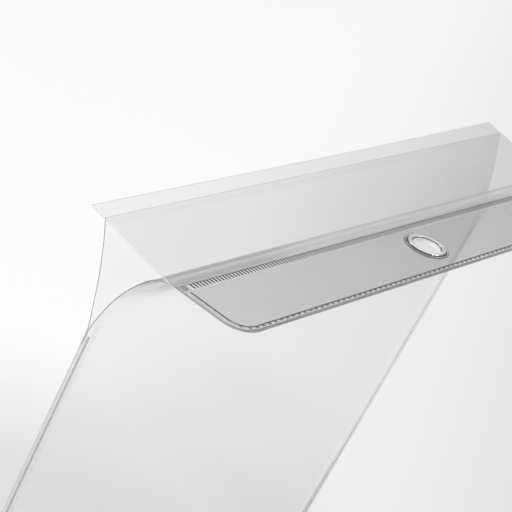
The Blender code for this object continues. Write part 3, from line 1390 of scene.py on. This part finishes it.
@dataclass
class Studio:
    """The pale floor, the lamps, the surroundings and the camera, in metres."""

    floor_reach: float = 8.0
    floor_gap: float = 0.012
    white: float = 1.0
    # Painted shade: the floor's own colour greys to the right along the slope below.
    painted_shade_tone: float = 0.79
    glow: float = 0.85
    painted_shade_slope: Point = (0.36, -0.838, 0.0)
    painted_shade_span: Pair = (-0.14, 0.17)
    # Painted shadow: a soft round grey in the floor's own colour round the pocket's foot, not a
    # cast shadow.
    painted_shadow_place: Point = (0.0, 0.034, 0.0)
    painted_shadow_span: Pair = (0.18, 0.33)
    painted_shadow_tone: float = 0.76
    # Painted reflection: tones that the floor shows only to mirrored rays, dim near the pocket and
    # like the room further out.
    pool: Pair = (0.5, 1.2)
    pool_tone: float = 0.85
    dim_tone: float = 0.05
    dim_spans: tuple[tuple[str, Pair], ...] = (
        ("X", (0.2, 0.255)), ("X", (0.38, 0.31)), ("Y", (-0.03, 0.03)), ("Y", (0.26, 0.19)),
    )
    room_edge: float = math.radians(33.0)
    room_rise: Pair = (0.08, 0.24)
    room_light: float = 0.55
    no_bounce: float = 0.5
    low_tones: tuple[Pair, ...] = (
        (-1.0, 0.65), (-0.95, 0.6), (-0.86, 0.06), (-0.5, 0.3), (-0.2, 0.75), (0.07, 0.85),
        (0.11, 0.56),
    )
    high_tones: tuple[Pair, ...] = (
        (-1.0, 1.5), (-0.65, 1.5), (-0.3, 0.27), (0.03, 1.13), (0.04, 1.1), (0.065, 0.38),
        (0.08, 0.295), (0.2, 0.295), (0.5, 1.5),
    )
    sky_tones: tuple[Pair, ...] = ((0.0, 0.22), (0.4, 0.22), (0.5, 0.5), (0.7, 0.8), (1.0, 0.8))
    lamps: tuple[Lamp, ...] = (
        Lamp("key_lamp", (-0.25, -0.35, 1.5), 0.6, 11.0),
        Lamp("left_lamp", (-1.1, 0.5, 0.3), 0.6, 8.8),
        Lamp("left_glint", (0.86, 0.04, 1.23), 0.35, 12.0, True),
        Lamp("right_glint", (0.455, 1.125, 0.88), 0.35, 12.0, True),
        Lamp("fill_lamp", (0.9, -0.8, 0.9), 0.5, 5.5),
    )
    camera_place: Point = (-0.4845, -0.20186, 0.25481)
    camera_turn: Point = (58.2327, -23.7444, -48.0480)
    camera_lens: float = 123.02
    camera_sensor: float = 36.0
    camera_clip: Pair = (0.01, 100.0)

    def build_floor(self, height: float) -> None:
        """The plain floor under the pocket, greyed by painted shade to the right and a painted
        soft round shadow, and its mirrored look.

        Args:
            height: Height of the floor.
        """
        take()
        bpy.ops.mesh.primitive_plane_add(size=self.floor_reach, location=(0.0, 0.0, height))
        floor = named("floor")
        graph = NodeGraph(bpy.data.materials.new("pale_floor"))
        place = graph.add("TexCoord").outputs["Object"]
        slope = graph.measure("DOT_PRODUCT", place, self.painted_shade_slope)
        away = graph.measure("DISTANCE", place, self.painted_shadow_place)
        # Painted shade and painted shadow, mixed into the floor's colour.
        shade = graph.math(
            "MULTIPLY",
            graph.step(slope, self.painted_shade_span, (self.white, self.painted_shade_tone)),
            graph.step(away, self.painted_shadow_span, (self.painted_shadow_tone, self.white)),
        )
        heading = graph.add("VectorMath", {0: place}, operation="NORMALIZE").outputs["Vector"]
        # Painted reflection: the room's tones, seen in the floor by mirrored rays only.
        room = graph.mix(
            graph.step(graph.measure("LENGTH", place), self.pool),
            self.painted_dim_reflection(graph, place),
            self.around(graph, heading, self.low_tones, "EASE"),
        )
        path = graph.add("LightPath").outputs
        mirrored = graph.math("GREATER_THAN", path["Glossy Depth"], self.no_bounce)
        matt = graph.add("BsdfDiffuse", {"Color": shade})
        tone = graph.mix(mirrored, shade, room)
        glow = graph.add("Emission", {"Color": tone, "Strength": 1.0})
        seen = graph.math("MAXIMUM", path["Is Camera Ray"], path["Is Glossy Ray"])
        seen = graph.math("MAXIMUM", seen, path["Is Transmission Ray"])
        share = graph.math("MULTIPLY", seen, self.glow)
        floor.data.materials.append(
            graph.finish(matt.outputs[0], glow.outputs[0], share=share)
        )
        floor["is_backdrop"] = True

    def painted_dim_reflection(self, graph: NodeGraph, place: Socket) -> Socket:
        """Painted reflection: how bright the floor near the pocket looks to mirrored rays only,
        with a dim part behind it.

        Args:
            graph: The nodes to add to.
            place: Place on the floor.

        Returns:
            The brightness.
        """
        parts = graph.add("SeparateXYZ", {0: place}).outputs
        inside: Feed = 1.0
        for axis, span in self.dim_spans:
            inside = graph.math("MULTIPLY", inside, graph.step(parts[axis], span))
        return graph.mix(inside, self.pool_tone, self.dim_tone)

    def around(
        self, graph: NodeGraph, heading: Socket, tones: Sequence[Pair], kind: str
    ) -> Socket:
        """How bright the room is all the way round.

        Args:
            graph: The nodes to add to.
            heading: Direction from the pocket.
            tones: Turns aside from one edge of the room, from -1 to 1, with their brightness.
            kind: How the brightness changes from one turn to the next.

        Returns:
            The brightness.
        """
        edge = (-math.sin(self.room_edge), math.cos(self.room_edge), 0.0)
        aside = graph.measure("DOT_PRODUCT", heading, edge)
        stops = [((turn + 1.0) / 2, grey(level)) for turn, level in tones]
        return graph.ramp(graph.step(aside, (-1.0, 1.0), kind="LINEAR"), stops, kind)

    def build_world(self) -> None:
        """White all round at the horizon, and a greyer room above for reflections."""
        graph = NodeGraph(bpy.data.worlds.new("studio"))
        heading = graph.add("TexCoord").outputs["Generated"]
        up = graph.add("SeparateXYZ", {0: heading}).outputs["Z"]
        sky = graph.ramp(up, [(height, grey(level)) for height, level in self.sky_tones])
        upper = graph.math(
            "MULTIPLY", sky, self.around(graph, heading, self.high_tones, "LINEAR")
        )
        lower = self.around(graph, heading, self.low_tones, "EASE")
        room = graph.mix(graph.step(up, self.room_rise), lower, upper)
        path = graph.add("LightPath").outputs
        straight = graph.math("LESS_THAN", path["Glossy Depth"], self.no_bounce)
        through = graph.math("MULTIPLY", path["Is Transmission Ray"], straight)
        plain = graph.math("MAXIMUM", path["Is Camera Ray"], through)
        dimming = self.room_light - 1.0
        feeds = {
            "Color": graph.mix(plain, room, self.white),
            "Strength": graph.math("MULTIPLY_ADD", path["Is Diffuse Ray"], dimming, 1.0),
        }
        bpy.context.scene.world = graph.finish(graph.add("Background", feeds).outputs[0])

    def build_camera(self) -> None:
        """The camera, at the photograph's angle."""
        lens = bpy.data.cameras.new("camera")
        lens.lens = self.camera_lens
        lens.sensor_width = self.camera_sensor
        lens.clip_start, lens.clip_end = self.camera_clip
        camera = bpy.data.objects.new("camera", lens)
        camera.location = self.camera_place
        camera.rotation_euler = tuple(math.radians(turn) for turn in self.camera_turn)
        bpy.context.scene.collection.objects.link(camera)
        bpy.context.scene.camera = camera

    def build(self, floor_height: float) -> None:
        """Builds the studio.

        Args:
            floor_height: Height of the floor.
        """
        self.build_camera()
        self.build_floor(floor_height - self.floor_gap)
        self.build_world()
        for lamp in self.lamps:
            lamp.build()
        bpy.context.scene.view_settings.view_transform = "Standard"


def main() -> None:
    """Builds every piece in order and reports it."""
    logging.basicConfig(level=logging.INFO, format="%(name)s: %(message)s")
    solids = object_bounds()
    Studio().build(solids[0][2])
    pieces = Films().build() + HeaderWelds().build() + [PouchWeld().build()] + Eyelet().build()
    for piece in pieces:
        LOG.info("%s: %d faces", piece.name, len(piece.data.polygons))


if __name__ == "__main__":
    main()
